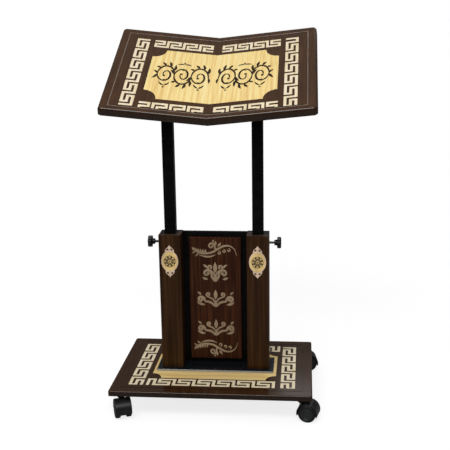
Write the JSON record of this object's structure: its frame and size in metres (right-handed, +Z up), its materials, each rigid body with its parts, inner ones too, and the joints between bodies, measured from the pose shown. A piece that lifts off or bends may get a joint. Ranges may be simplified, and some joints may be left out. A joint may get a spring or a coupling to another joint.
{
  "type": "book stand",
  "caption": "Rolling lectern for a large open book: two inlaid leaves in a shallow V on telescoping tubes, set in a twin-column pedestal on a casterboard base.",
  "frame": {"origin": "on the floor, under the middle of the stand's bounding box", "axes": "+Z up; the reader stands on the -Y side and +X is the reader's right"},
  "size_m": [0.486, 0.3668, 0.8434],
  "materials": {
    "lacquered_board": "dark brown gloss lacquer over MDF",
    "key_inlay": "cream key-pattern inlay under clear lacquer",
    "maple_veneer": "pale straight-grained veneer under clear lacquer",
    "column_board": "satin dark walnut foil on MDF",
    "panel_board": "satin walnut foil with engraved ornament",
    "black_board": "black satin paint on MDF",
    "black_steel": "black powder coat",
    "nylon": "moulded black nylon",
    "gold_medallion": "pale gold laser-cut acrylic",
    "black_plastic": "moulded black plastic",
    "caster_hood": "moulded black nylon, semi-gloss",
    "caster_wheel": "moulded black nylon tread",
    "brass_insert": "turned brass",
    "beech_dowel": "plain beech",
    "zinc_steel": "zinc-plated steel"
  },
  "bodies": {
    "base": {"back_board": "black_board", "base_board": "lacquered_board", "base_key_inlay": "key_inlay", "base_veneer": "maple_veneer", "board_dowels": "beech_dowel", "caster_back_left_mount": "zinc_steel", "caster_back_right_mount": "zinc_steel", "caster_front_left_mount": "zinc_steel", "caster_front_right_mount": "zinc_steel", "caster_screws": "zinc_steel", "column_screws": "zinc_steel", "deck_plate": "black_steel", "front_panel": "panel_board", "left_column_back": "column_board", "left_column_front": "column_board", "left_column_inner": "column_board", "left_column_outer": "column_board", "left_medallion": "gold_medallion", "right_column_back": "column_board", "right_column_front": "column_board", "right_column_inner": "column_board", "right_column_outer": "column_board", "right_medallion": "gold_medallion", "threaded_inserts": "brass_insert"},
    "mast": {"bracket_screws": "zinc_steel", "fold_straps": "black_steel", "left_bracket": "black_steel", "left_leaf": "lacquered_board", "left_leaf_key_inlay": "key_inlay", "left_leaf_veneer": "maple_veneer", "left_tube": "black_steel", "left_tube_plug": "nylon", "right_bracket": "black_steel", "right_leaf": "lacquered_board", "right_leaf_key_inlay": "key_inlay", "right_leaf_veneer": "maple_veneer", "right_tube": "black_steel", "right_tube_plug": "nylon", "strap_screws": "zinc_steel"},
    "left_stud": {"left_lock_stud": "zinc_steel"},
    "right_stud": {"right_lock_stud": "zinc_steel"},
    "left_knob": {"left_lock_knob": "black_plastic"},
    "right_knob": {"right_lock_knob": "black_plastic"},
    "back_left_caster": {"caster_back_left_axle": "zinc_steel", "caster_back_left_hood": "caster_hood"},
    "back_left_wheel_a": {"caster_back_left_wheel_a": "caster_wheel"},
    "back_left_wheel_b": {"caster_back_left_wheel_b": "caster_wheel"},
    "back_right_caster": {"caster_back_right_axle": "zinc_steel", "caster_back_right_hood": "caster_hood"},
    "back_right_wheel_a": {"caster_back_right_wheel_a": "caster_wheel"},
    "back_right_wheel_b": {"caster_back_right_wheel_b": "caster_wheel"},
    "front_left_caster": {"caster_front_left_axle": "zinc_steel", "caster_front_left_hood": "caster_hood"},
    "front_left_wheel_a": {"caster_front_left_wheel_a": "caster_wheel"},
    "front_left_wheel_b": {"caster_front_left_wheel_b": "caster_wheel"},
    "front_right_caster": {"caster_front_right_axle": "zinc_steel", "caster_front_right_hood": "caster_hood"},
    "front_right_wheel_a": {"caster_front_right_wheel_a": "caster_wheel"},
    "front_right_wheel_b": {"caster_front_right_wheel_b": "caster_wheel"}
  },
  "joints": [
    {"name": "height_slide", "type": "slide", "parent": "base", "child": "mast", "axis": [0, 0, 1], "range_m": [-0.225, 0.02]},
    {"name": "left_stud_advance", "type": "slide", "parent": "base", "child": "left_stud", "axis": [-1, 0, 0], "range_m": [0, 0.00305]},
    {"name": "left_knob_turn", "type": "hinge", "parent": "left_stud", "child": "left_knob", "pos_m": [-0.14, -0.0143, 0.366], "axis": [-1, 0, 0], "range_deg": [0, 1080]},
    {"name": "right_stud_advance", "type": "slide", "parent": "base", "child": "right_stud", "axis": [1, 0, 0], "range_m": [0, 0.00305]},
    {"name": "right_knob_turn", "type": "hinge", "parent": "right_stud", "child": "right_knob", "pos_m": [0.14, -0.0143, 0.366], "axis": [1, 0, 0], "range_deg": [0, 1080]},
    {"name": "front_left_swivel", "type": "hinge", "parent": "base", "child": "front_left_caster", "pos_m": [-0.201, -0.1413, 0.05], "axis": [0, 0, 1], "continuous": true},
    {"name": "front_left_roll_a", "type": "hinge", "parent": "front_left_caster", "child": "front_left_wheel_a", "pos_m": [-0.19501, -0.15613, 0.02], "axis": [0.9272, 0.3746, 0], "continuous": true},
    {"name": "front_left_roll_b", "type": "hinge", "parent": "front_left_caster", "child": "front_left_wheel_b", "pos_m": [-0.19501, -0.15613, 0.02], "axis": [0.9272, 0.3746, 0], "continuous": true},
    {"name": "front_right_swivel", "type": "hinge", "parent": "base", "child": "front_right_caster", "pos_m": [0.201, -0.1413, 0.05], "axis": [0, 0, 1], "continuous": true},
    {"name": "front_right_roll_a", "type": "hinge", "parent": "front_right_caster", "child": "front_right_wheel_a", "pos_m": [0.21652, -0.14517, 0.02], "axis": [0.2419, 0.9703, 0], "continuous": true},
    {"name": "front_right_roll_b", "type": "hinge", "parent": "front_right_caster", "child": "front_right_wheel_b", "pos_m": [0.21652, -0.14517, 0.02], "axis": [0.2419, 0.9703, 0], "continuous": true},
    {"name": "back_left_swivel", "type": "hinge", "parent": "base", "child": "back_left_caster", "pos_m": [-0.201, 0.1127, 0.05], "axis": [0, 0, 1], "continuous": true},
    {"name": "back_left_roll_a", "type": "hinge", "parent": "back_left_caster", "child": "back_left_wheel_a", "pos_m": [-0.21665, 0.11603, 0.02], "axis": [-0.2079, -0.9781, 0], "continuous": true},
    {"name": "back_left_roll_b", "type": "hinge", "parent": "back_left_caster", "child": "back_left_wheel_b", "pos_m": [-0.21665, 0.11603, 0.02], "axis": [-0.2079, -0.9781, 0], "continuous": true},
    {"name": "back_right_swivel", "type": "hinge", "parent": "base", "child": "back_right_caster", "pos_m": [0.201, 0.1127, 0.05], "axis": [0, 0, 1], "continuous": true},
    {"name": "back_right_roll_a", "type": "hinge", "parent": "back_right_caster", "child": "back_right_wheel_a", "pos_m": [0.21684, 0.11493, 0.02], "axis": [-0.1392, 0.9903, 0], "continuous": true},
    {"name": "back_right_roll_b", "type": "hinge", "parent": "back_right_caster", "child": "back_right_wheel_b", "pos_m": [0.21684, 0.11493, 0.02], "axis": [-0.1392, 0.9903, 0], "continuous": true}
  ],
  "couplings": [
    {"joint": "left_stud_advance", "follows": "left_knob_turn", "m_per_rad": 0.00015915},
    {"joint": "right_stud_advance", "follows": "right_knob_turn", "m_per_rad": 0.00015915}
  ]
}
